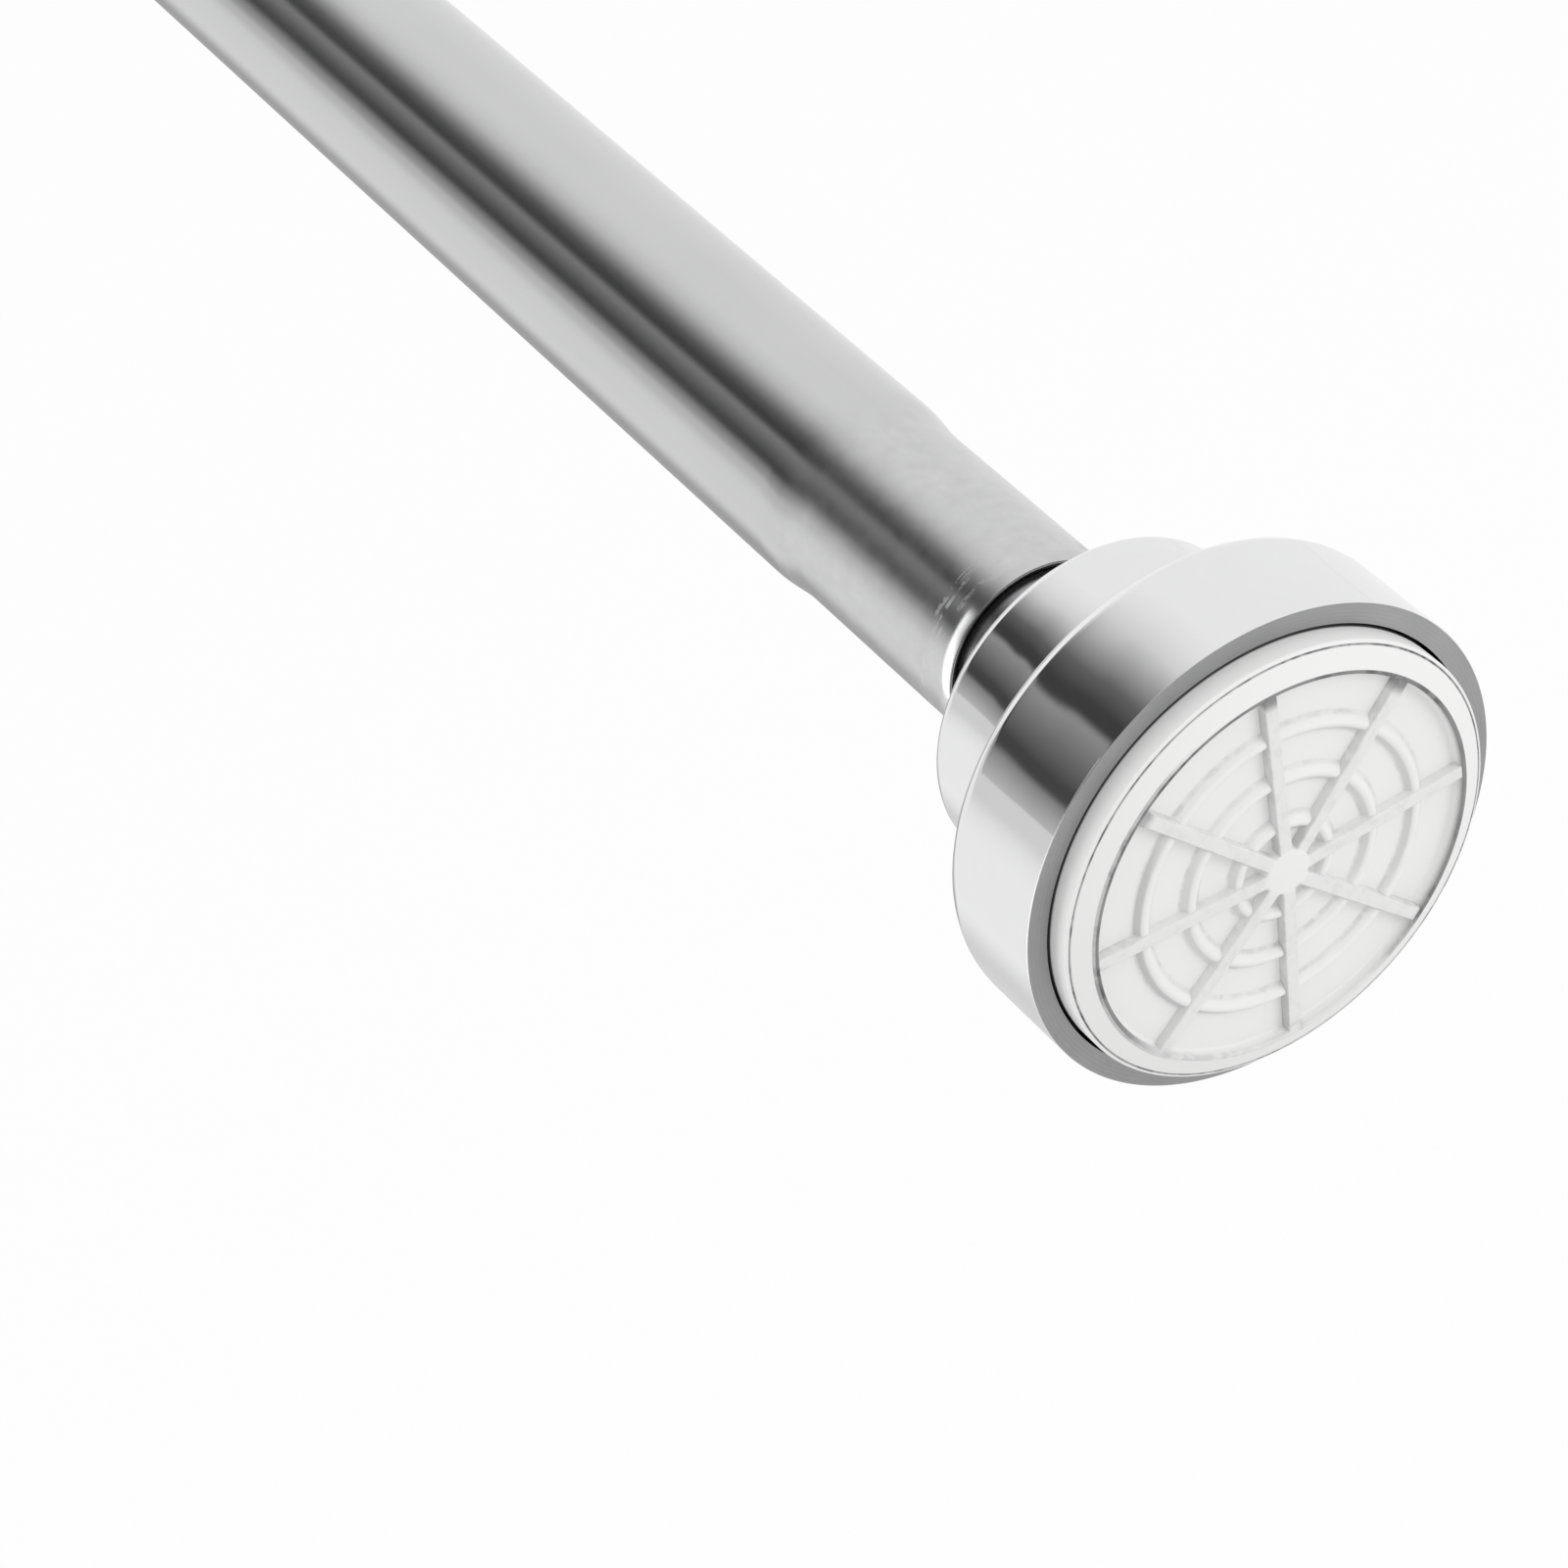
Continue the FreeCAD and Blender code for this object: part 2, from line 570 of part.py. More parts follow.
def guide_plug():
    """Plug in the inner tube's inner end: slides in the outer tube and drives the spindle."""
    body = new_body("guide_plug")
    running, pressed = "tube_bore - slide_clearance", "inner_bore - seat_clearance"
    turn_solid(body, "Moulding", [
        ("guide_left", "0"), ("guide_left", running), ("inner_left", running),
        ("inner_left", pressed), ("guide_right", pressed), ("guide_right", "0")])
    volume = body.Shape.Volume
    flats = "hex_flats + slide_clearance * 2"
    extrude_along(body, "HexBore", "Pocket", lambda sketch: draw_hexagon(sketch, flats),
                  "guide_left - guide_flange", "guide_right - guide_left + guide_flange * 2")
    check_change(volume, body, False)


def spring_washer():
    """Washer on the spindle's end that the spring pushes against."""
    body = new_body("spring_washer")
    hole = "stub_radius + seat_clearance"
    turn_solid(body, "Disc", [
        ("seat_left", hole), ("seat_left", "seat_radius"),
        ("seat_right", "seat_radius"), ("seat_right", hole)])


def spindle_nut():
    """Nut that holds the spring washer on the spindle."""
    body = new_body("spindle_nut")
    extrude_along(body, "Hexagon", "Pad", lambda sketch: draw_hexagon(sketch, "nut_flats"),
                  "seat_right", "nut_height")
    volume = body.Shape.Volume
    hole = "stub_radius + seat_clearance"
    extrude_along(body, "Bore", "Pocket", lambda sketch: draw_circle(sketch, hole),
                  "seat_right - stub_proud", "nut_height + stub_proud * 2")
    check_change(volume, body, False)


def spring_stop():
    """Stop for the spring, pressed into the inner tube, with a spigot inside the coil."""
    body = new_body("spring_stop")
    outside = "inner_bore - seat_clearance"
    spigot = "stop_left - stop_spigot"
    turn_solid(body, "Moulding", [
        (spigot, "0"), (spigot, "spigot_radius"), ("stop_left", "spigot_radius"),
        ("stop_left", outside), ("stop_right", outside), ("stop_right", "0")])


def spring():
    """Compression spring, lofted through sections set round its helix, with closed flat ends."""
    steps_per_turn, wire_sides = 10, 5
    radius, wire = value("spring_radius"), value("wire_radius")
    turns, length = round(value("coil_count")), value("spring_length")
    start, lead = value("seat_right"), 2 * wire
    closed = steps_per_turn
    stations = turns * steps_per_turn
    open_rise = (length - 2 * wire - 2 * lead) / (stations - 2 * closed)
    sections = []
    travelled = start + wire
    for station in range(stations + 1):
        angle = 2 * math.pi * station / steps_per_turn
        outward = FreeCAD.Vector(0, math.cos(angle), math.sin(angle))
        centre = FreeCAD.Vector(travelled, 0, 0) + outward * radius
        along = FreeCAD.Vector(1, 0, 0)
        ring = [centre + outward * wire * math.cos(2 * math.pi * side / wire_sides)
                + along * wire * math.sin(2 * math.pi * side / wire_sides)
                for side in range(wire_sides)]
        sections.append(Part.makePolygon(ring + ring[:1]))
        at_end = station < closed or station >= stations - closed
        travelled += lead / steps_per_turn if at_end else open_rise
    coil = doc.addObject("Part::Feature", "spring")
    coil.Label = "spring"
    coil.Shape = Part.makeLoft(sections, True, True)
    coil.Placement = FreeCAD.Placement()
    pieces.append(coil)


def main():
    """Builds every piece, checks it and writes its file."""
    outer_tube()
    mouth_bush()
    inner_tube()
    for side in ("left", "right"):
        end_cap(side)
        end_pad(side)
        end_plug(side)
        cap_screw(side)
    collar_clip()
    cone_nut()
    lock_collar()
    spindle()
    guide_plug()
    spring_washer()
    spindle_nut()
    spring_stop()
    spring()
    doc.recompute()
    for item in doc.Objects:
        if {"Invalid", "Error"} & set(item.State):
            raise RuntimeError(f"{item.Label} failed: {item.State}")
    os.makedirs("parts", exist_ok=True)
    for piece in pieces:
        shape = piece.Shape
        if shape.isNull() or not shape.isValid() or len(shape.Solids) != 1:
            raise RuntimeError(f"{piece.Label} has no valid single solid")
        shape.exportStep(f"parts/{piece.Label}.step")
        print(piece.Label, round(shape.Volume, 1))


main()
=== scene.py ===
import math

import bmesh
import bpy
from bpy.props import FloatProperty, FloatVectorProperty, IntProperty, PointerProperty
from mathutils import Matrix, Vector


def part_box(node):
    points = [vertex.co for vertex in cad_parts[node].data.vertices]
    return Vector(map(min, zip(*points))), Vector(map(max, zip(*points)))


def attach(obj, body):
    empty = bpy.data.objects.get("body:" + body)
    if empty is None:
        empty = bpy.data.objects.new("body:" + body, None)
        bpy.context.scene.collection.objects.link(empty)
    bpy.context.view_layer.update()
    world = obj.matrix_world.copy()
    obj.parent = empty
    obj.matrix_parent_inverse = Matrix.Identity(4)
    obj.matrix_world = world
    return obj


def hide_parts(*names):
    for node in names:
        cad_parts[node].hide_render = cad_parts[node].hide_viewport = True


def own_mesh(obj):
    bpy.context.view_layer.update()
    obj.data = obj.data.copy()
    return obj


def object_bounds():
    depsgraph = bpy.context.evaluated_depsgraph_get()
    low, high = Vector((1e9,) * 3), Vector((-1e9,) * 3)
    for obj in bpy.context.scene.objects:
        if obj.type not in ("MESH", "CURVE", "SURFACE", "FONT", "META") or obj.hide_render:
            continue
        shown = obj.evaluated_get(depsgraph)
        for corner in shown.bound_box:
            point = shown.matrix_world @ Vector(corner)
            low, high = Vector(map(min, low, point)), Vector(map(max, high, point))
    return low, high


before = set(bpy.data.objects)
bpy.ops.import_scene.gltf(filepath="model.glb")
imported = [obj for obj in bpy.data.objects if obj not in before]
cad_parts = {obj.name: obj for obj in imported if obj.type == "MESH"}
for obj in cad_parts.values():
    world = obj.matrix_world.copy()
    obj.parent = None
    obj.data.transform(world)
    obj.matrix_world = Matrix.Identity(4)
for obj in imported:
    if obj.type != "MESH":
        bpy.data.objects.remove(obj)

bl_info = {
    "name": "Spring Tension Rod",
    "version": (1, 0, 0),
    "blender": (4, 5, 0),
    "location": "View3D > Sidebar > Rod",
    "description": "Finished tubes, stepped caps, treaded pads and spring of a tension rod",
    "category": "Object",
}

CAD_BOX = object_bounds()
ROD_LENGTH = CAD_BOX[1].x
DRUM_RADIUS = CAD_BOX[1].z
ENDS = {"left": "outer", "right": "inner"}

MM = 0.001
MERGE_DISTANCE = 1e-7
ON_FACE = 0.02 * MM
LATHE_STEPS = 224
ROUND_SEGMENTS = 6
SPOKE_SEGMENTS = 4
COIL_STEPS = 36
WIRE_SEGMENTS = 16
SENSOR_WIDTH = 36.0


# Sizes and colours that a user would change

def length(name, description, default):
    """A length property, given in millimetres."""
    return FloatProperty(name=name, description=description, default=default * MM, min=0.0,
                         precision=5, subtype="DISTANCE", unit="LENGTH")


def offset(name, description, default):
    """A step from one place to another, given in metres."""
    return FloatVectorProperty(name=name, description=description, default=default, size=3,
                               subtype="TRANSLATION", unit="LENGTH")


def power(name, description, default):
    """The power of a lamp, given in watts."""
    return FloatProperty(name=name, description=description, default=default,
                         subtype="POWER", unit="POWER")


def colour(name, description, default):
    """A colour property."""
    return FloatVectorProperty(name=name, description=description, default=default,
                               size=3, min=0.0, max=1.0, subtype="COLOR")


class RodTubeSizes(bpy.types.PropertyGroup):
    """Sizes and colours of the two tubes and of the bush between them."""

    outer_wall: length("Outer wall", "Sheet of the outer tube", 0.7)
    neck_drop: length("Neck drop", "How far the swaged mouth is drawn in", 0.6)
    neck_length: length("Neck length", "Straight part of the swaged mouth", 31.4)
    taper_length: length("Taper length", "Run from the full tube to the neck", 4.6)
    taper_round: length("Taper rounding", "Tangent length of the taper's roundings", 1.4)
    lip_length: length("Lip length", "Drawn-in edge at the mouth", 1.2)
    lip_drop: length("Lip drop", "How far the mouth's edge is drawn in", 0.4)
    lip_round: length("Lip rounding", "Rounding where the lip starts", 0.4)
    mouth_round: length("Mouth rounding", "Rounding of the mouth's edge", 0.12)
    inner_wall: length("Inner wall", "Sheet of the inner tube", 0.6)
    bush_gap: length("Bush gap", "Play between the bush and the inner tube", 0.06)
    bush_round: length("Bush rounding", "Rounding of the bush's front", 0.2)
    steel: colour("Steel", "Polished steel of the outer tube", (0.64, 0.64, 0.645))
    inner_steel: colour("Inner steel", "Satin steel of the inner tube", (0.46, 0.46, 0.47))
    bush: colour("Bush", "Black plastic of the bush", (0.018, 0.018, 0.02))


class RodCapSizes(bpy.types.PropertyGroup):
    """Sizes and colours of the two stepped caps."""

    drum_length: length("Drum length", "Length of the front drum", 15.4)
    collar_radius: length("Rear drum radius", "Outside of the rear drum", 20.0)
    bore: length("Bore", "Radius of the hole that the tube enters", 13.6)
    rim_width: length("Rim width", "Flat front rim", 2.4)
    wall: length("Wall", "Wall of the rear drum and the back faces", 2.0)
    sleeve_wall: length("Sleeve wall", "Wall of the sleeve round the tube", 1.8)
    web_setback: length("Web setback", "From the rim to the screw web", 10.0)
    web_thickness: length("Web thickness", "Screw web in the sleeve", 2.5)
    nose_hole: length("Nose hole", "Radius of the hole for the plug's nose", 6.02)
    step_round: length("Step rounding", "Rounding of the front drum's rear edge", 2.6)
    back_round: length("Back rounding", "Rounding of the rear drum's edge", 1.8)
    small_round: length("Small rounding", "Rounding of the bore and of the root", 0.4)
    rim_round: length("Rim rounding", "Rounding of the front rim", 0.12)
    plating: colour("Plating", "Chrome plating of the caps", (0.87, 0.87, 0.872))
    rim: colour("Rim", "Satin front rim", (0.38, 0.38, 0.385))
    # Near-black, so that the gap round the pad and the bore show as painted shade
    inside: colour("Inside", "Bare plastic inside the caps", (0.02, 0.02, 0.021))


class RodPadSizes(bpy.types.PropertyGroup):
    """Sizes and colours of the two soft pads."""

    foot: length("Foot", "Thickness of the wider foot", 2.0)
    foot_front: length("Foot front", "From the wall face to the foot's front", 8.6)
    gap: length("Gap", "Open ring inside the cap's rim", 0.4)
    rim_depth: length("Rim depth", "From the wall face to the cap's rim", 4.6)
    edge_drop: length("Edge drop", "From the wall face to the outer shoulder", 1.9)
    shoulder: length("Shoulder", "Rounding of the outer shoulder", 0.34)
    groove_radius: length("Groove radius", "Fine groove inside the shoulder", 25.75)
    groove: length("Groove", "Half the width of the fine groove", 0.08)
    groove_depth: length("Groove depth", "Depth of the fine groove", 0.15)
    tread_radius: length("Tread radius", "Edge of the sunk tread", 22.9)
    tread_edge: length("Tread edge", "From the wall face to the tread's edge", 0.7)
    tread_depth: length("Tread depth", "From the tread's edge to its floor", 1.3)
    tread_crown: length("Tread crown", "Rise of the floor towards the middle", 0.7)
    hub_radius: length("Hub radius", "Flat middle of the tread", 2.8)
    lean: length("Lean", "How far the walls of tread and hub lean back", 0.1)
    brink: length("Brink", "Width of the rounded brink at the tread's edge", 0.3)
    edge_round: length("Edge rounding", "Rounding of the tread's brink and of the hub", 0.25)
    brink_round: length("Brink rounding", "Rounding inside the tread's brink", 0.1)
    floor_round: length("Floor rounding", "Rounding of the floor's edge and the ribs", 0.3)
    foot_round: length("Foot rounding", "Rounding at the feet of the ribs and the hub", 0.2)
    spoke_width: length("Spoke width", "Width of a spoke", 1.6)
    spoke_drop: length("Spoke drop", "Spoke end under the tread's edge", 0.2)
    spoke_round: length("Spoke rounding", "Rounding of a spoke's top edges", 0.2)
    web_spacing: length("Web spacing", "Radial pitch of the ring ribs", 5.7)
    web_foot: length("Web foot", "Width of a ring rib at the floor", 2.0)
    web_height: length("Web height", "Height of a ring rib", 0.9)
    spokes: IntProperty(name="Spokes", description="Spokes of the tread", default=8, min=3)
    spoke_turn: FloatProperty(name="First spoke", description="Angle of the first spoke",
                              default=math.radians(8), subtype="ANGLE", unit="ROTATION")
    rubber: colour("Rubber", "Soft white rubber", (0.86, 0.86, 0.855))
    # This grey is painted shade along walls, ribs, edges and the gap, with some grime
    shade_and_grime: colour("Grime", "Grey that gathers along edges", (0.12, 0.12, 0.122))


class RodSpringSizes(bpy.types.PropertyGroup):
    """Sizes and colour of the spring in the inner tube."""

    wire: length("Wire", "Diameter of the spring's wire", 1.56)
    end_lead: length("End lead", "Rise of the closed turn at each end", 1.6)
    travel: length("Travel", "How far the rod presses the spring together", 25.0)
    coils: IntProperty(name="Coils", description="Turns, the two end turns included",
                       default=9, min=3)
    steel: colour("Steel", "Oiled steel of the spring", (0.28, 0.28, 0.29))


class RodFittingColours(bpy.types.PropertyGroup):
    """Colours of the plugs, screws and lock."""

    black: colour("Black", "Black moulded plastic", (0.02, 0.02, 0.022))
    white: colour("White", "White moulded plastic", (0.70, 0.70, 0.68))
    zinc: colour("Zinc", "Zinc-plated steel", (0.60, 0.61, 0.63))


class RodStudio(bpy.types.PropertyGroup):
    """Camera, floor and light."""

    lens: FloatProperty(name="Lens", description="Focal length on a 36 mm sensor",
                        default=120.35, subtype="DISTANCE_CAMERA", unit="CAMERA")
    camera_place: offset("Camera place", "From the right rim's middle",
                         (0.3328, -0.2660, 0.3300))
    camera_aim: FloatVectorProperty(name="Camera aim", description="Direction of view",
                                    default=(-0.6749, 0.4224, -0.6050), size=3,
                                    subtype="DIRECTION")
    floor_size: length("Floor size", "Half the side of the floor", 6000.0)
    floor_drop: length("Floor drop", "Floor below the rod", 300.0)
    key_place: offset("Key place", "From the rod's right end", (0.42, 0.30, 0.36))
    key_size: length("Key size", "Side of the soft key lamp", 350.0)
    key_power: power("Key power", "Power of the soft key lamp", 0.8)
    strip_place: offset("Strip place", "From the middle of the mouth", (-0.04, -0.17, -0.04))
    strip_width: length("Strip width", "Width of the lamp beside the mouth", 60.0)
    strip_height: length("Strip height", "Height of the lamp beside the mouth", 340.0)
    strip_power: power("Strip power", "Power of the lamp beside the mouth", 0.10)


# Meshes

def end_x(side, depth):
    """X of a place from its distance to that end's wall face, and the other way round."""
    return depth if side == "left" else ROD_LENGTH - depth


def new_object(name, data):
    """An object at the origin, in the scene."""
    made = bpy.data.objects.new(name, data)
    bpy.context.scene.collection.objects.link(made)
    return made


def lathe(corners):
    """A closed solid turned about X from (x, radius, rounding) corners."""
    solid = bmesh.new()
    spots = [solid.verts.new((x, 0.0, radius)) for x, radius, rounding in corners]
    for first, second in zip(spots, spots[1:] + spots[:1]):
        if first.co.z > 0 or second.co.z > 0:
            solid.edges.new((first, second))
    for size in sorted({corner[2] for corner in corners if corner[2] > 0}):
        chosen = [spot for spot, corner in zip(spots, corners) if corner[2] == size]
        bmesh.ops.bevel(solid, geom=chosen, offset=size, offset_type="OFFSET",
                        segments=ROUND_SEGMENTS, profile=0.5, affect="VERTICES", material=-1)
    bmesh.ops.spin(solid, geom=solid.verts[:] + solid.edges[:], cent=(0, 0, 0), axis=(1, 0, 0),
                   dvec=(0, 0, 0), angle=math.tau, steps=LATHE_STEPS, use_merge=True)
    bmesh.ops.remove_doubles(solid, verts=solid.verts[:], dist=MERGE_DISTANCE)
    bmesh.ops.recalc_face_normals(solid, faces=solid.faces[:])
    return solid


def finish_piece(solid, name, node, body, materials, crease=30.0):
    """Turns a bmesh into an object that stands for a CAD node, sharp at its creases."""
    mesh = bpy.data.meshes.new(name)
    solid.to_mesh(mesh)
    solid.free()
    mesh.shade_smooth()
    mesh.set_sharp_from_angle(angle=math.radians(crease))
    piece = new_object(name, mesh)
    for material in materials:
        mesh.materials.append(material)
    evened = piece.modifiers.new("EvenNormals", "WEIGHTED_NORMAL")
    evened.keep_sharp = True
    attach(piece, body)
    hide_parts(node)
    return piece


# Shader maths

class Wire:
    """A number in a node tree; a sum with it adds its Math node."""

    def __init__(self, recipe, socket):
        self.recipe = recipe
        self.socket = socket

    def math(self, operation, *values):
        """A Math node that reads the given numbers."""
        return self.recipe.wire(self.recipe.add(
            "ShaderNodeMath", {"operation": operation}, dict(enumerate(values))))

    def run(self, operation):
        """A Math node that reads this number alone."""
        return self.math(operation, self)

    def __add__(self, other):
        return self.math("ADD", self, other)

    __radd__ = __add__

    def __sub__(self, other):
        return self.math("SUBTRACT", self, other)

    def __rsub__(self, other):
        return self.math("SUBTRACT", other, self)

    def __mul__(self, other):
        return self.math("MULTIPLY", self, other)

    __rmul__ = __mul__

    def __truediv__(self, other):
        return self.math("DIVIDE", self, other)

    def __abs__(self):
        return self.math("ABSOLUTE", self)

    def larger(self, other):
        return self.math("MAXIMUM", self, other)

    def smaller(self, other):
        return self.math("MINIMUM", self, other)

    def rise(self, start, end):
        """0 before start, 1 after end, and smooth between."""
        node = self.recipe.add(
            "ShaderNodeMapRange", {"interpolation_type": "SMOOTHSTEP", "clamp": True},
            {"Value": self, "From Min": start, "From Max": end, "To Min": 0.0, "To Max": 1.0})
        return self.recipe.wire(node, "Result")

    def line(self, place, half, blur):
        """1 within half of a place, 0 beyond the blur, and smooth between."""
        return 1.0 - abs(self - place).rise(half, half + blur)


class Recipe:
    """The nodes of one material or of the world."""

    def __init__(self, tree):
        self.tree = tree
        tree.nodes.clear()

    def add(self, kind, settings=None, inputs=None):
        """Adds a node, its settings first and then the values or links of its sockets."""
        node = self.tree.nodes.new(kind)
        for key, setting in (settings or {}).items():
            if key == "stops":
                self.set_stops(node.color_ramp, setting)
            else:
                setattr(node, key, setting)
        for key, given in (inputs or {}).items():
            if isinstance(given, Wire):
                given = given.socket
            if isinstance(given, bpy.types.NodeSocket):
                self.tree.links.new(given, node.inputs[key])
            else:
                node.inputs[key].default_value = given
        return node

    def set_stops(self, ramp, stops):
        """Fills a ramp with (place, grey) stops."""
        ramp.interpolation = "LINEAR"
        while len(ramp.elements) > 1:
            ramp.elements.remove(ramp.elements[-1])
        for number, (place, grey) in enumerate(stops):
            stop = ramp.elements[0] if number == 0 else ramp.elements.new(place)
            stop.position = place
            stop.color = (grey, grey, grey, 1.0)

    def wire(self, node, output=0):
        """A node's output as a number."""
        return Wire(self, node.outputs[output])

    def object_place(self):
        """Object coordinates as one vector."""
        return self.add("ShaderNodeTexCoord").outputs["Object"]

    def axes(self, place):
        """The three numbers of a vector."""
        parts = self.add("ShaderNodeSeparateXYZ", {}, {"Vector": place})
        return [self.wire(parts, axis) for axis in "XYZ"]

    def noise(self, place, scale, detail, stretch=(1.0, 1.0, 1.0)):
        """Noise of 0 to 1, its cells stretched along the axes."""
        spread = self.add("ShaderNodeMapping", {}, {"Vector": place, "Scale": stretch})
        return self.wire(self.add("ShaderNodeTexNoise", {}, {
            "Vector": spread.outputs[0], "Scale": scale, "Detail": detail, "Roughness": 0.55}))

    def mixed(self, factor, first, second):
        """A colour between two colours."""
        node = self.add("ShaderNodeMix", {"data_type": "RGBA"}, {
            "Factor": factor, "A": (*first, 1.0), "B": (*second, 1.0)})
        return next(out for out in node.outputs if out.type == "RGBA")

    def shaded(self, factor, tint, low, high):
        """A colour between low times and high times a tint."""
        return self.mixed(factor, [channel * low for channel in tint],
                          [channel * high for channel in tint])

    def grey(self, level):
        """A grey of 0 to 1 as a colour."""
        return self.mixed(level, (0.0, 0.0, 0.0), (1.0, 1.0, 1.0))

    def bump(self, height, distance):
        """A bent normal, for a height of 0 to 1 that stands for a distance."""
        return self.add("ShaderNodeBump", {}, {
            "Height": height, "Distance": distance, "Strength": 1.0}).outputs["Normal"]

    def surface(self, inputs):
        """The Principled shader and the output."""
        shader = self.add("ShaderNodeBsdfPrincipled", {}, inputs)
        self.add("ShaderNodeOutputMaterial", {}, {"Surface": shader.outputs[0]})


def new_recipe(name):
    """A new material and the recipe of its nodes."""
    material = bpy.data.materials.new(name)
    material.use_nodes = True
    return material, Recipe(material.node_tree)


def axis_distance(y, z):
    """Distance from the rod's axis."""
    return (y * y + z * z).run("SQRT")


# Materials

def plated_plastic(tint):
    """Chrome-plated plastic: a mirror with the faint swell of the moulding under it."""
    material, r = new_recipe("PlatedPlastic")
    place = r.object_place()
    swell = r.noise(place, 65.0, 0.0)
    haze = r.noise(place, 420.0, 3.0)
    r.surface({
        "Base Color": r.shaded(haze, tint, 0.97, 1.0),
        "Metallic": 1.0, "Roughness": haze * 0.03 + 0.04,
        "Normal": r.bump(swell, 0.25 * MM)})
    return material


def satin_rim(tint):
    """Front rim of the cap, where the plating is left satin, with fine turning marks."""
    material, r = new_recipe("SatinRim")
    place = r.object_place()
    radius = axis_distance(*r.axes(place)[1:])
    cloud = r.noise(place, 90.0, 3.0)
    marks = (radius * 14000.0).run("SINE")
    r.surface({
        "Base Color": r.shaded(cloud, tint, 0.8, 1.2),
        "Metallic": 0.75, "Roughness": cloud * 0.12 + 0.30,
        "Normal": r.bump(marks, 0.004 * MM)})
    return material


def drawn_steel(name, tint, gloss, mouth=None):
    """Polished tube with fine draw lines along it, and turning marks at a mouth, lightened in
    colour as painted highlight streaks.
    """
    material, r = new_recipe(name)
    place = r.object_place()
    lines = r.noise(place, 500.0, 2.0, (0.01, 1.0, 1.0))
    cloud = r.noise(place, 60.0, 3.0)
    rough = lines * 0.04 + cloud * 0.03 + gloss
    shade = lines * 0.5 + cloud * 0.5
    grain = lines
    if mouth:
        taper, neck, lip = mouth
        x = r.axes(place)[0]
        worked = x.rise(taper, neck)
        mottle = r.noise(place, 420.0, 3.0)
        beside_lip = x.line(lip - 2.5 * MM, 1.2 * MM, 1.5 * MM)
        turning = r.noise(place, 2400.0, 1.0, (1.0, 0.08, 0.08)).rise(0.50, 0.64)
        turning = turning * beside_lip * mottle.rise(0.45, 0.60)
        rough = rough + worked * (mottle * 0.10 + 0.02) + turning * 0.30
        # The turning marks also lighten the colour, as painted highlight streaks
        shade = shade + worked * (mottle - 0.5) * 1.5 + turning
        grain = lines + worked * mottle
    r.surface({
        "Base Color": r.shaded(shade, tint, 0.94, 1.06),
        "Metallic": 1.0, "Roughness": rough, "Normal": r.bump(grain, 0.001 * MM)})
    return material


def moulded_plastic(name, tint, gloss=0.42):
    """Moulded plastic with a fine matte grain and faint flow clouds."""
    material, r = new_recipe(name)
    place = r.object_place()
    grain = r.noise(place, 2600.0, 3.0)
    cloud = r.noise(place, 130.0, 3.0)
    r.surface({
        "Base Color": r.shaded(cloud, tint, 0.85, 1.15),
        "Roughness": grain * 0.12 + gloss, "Normal": r.bump(grain, 0.01 * MM)})
    return material


def plated_steel(name, tint, gloss):
    """Zinc-plated or oiled steel of the small parts."""
    material, r = new_recipe(name)
    place = r.object_place()
    grain = r.noise(place, 1500.0, 4.0)
    cloud = r.noise(place, 240.0, 3.0)
    r.surface({
        "Base Color": r.shaded(cloud, tint, 0.8, 1.1),
        "Metallic": 1.0, "Roughness": grain * 0.15 + gloss,
        "Normal": r.bump(grain, 0.006 * MM)})
    return material


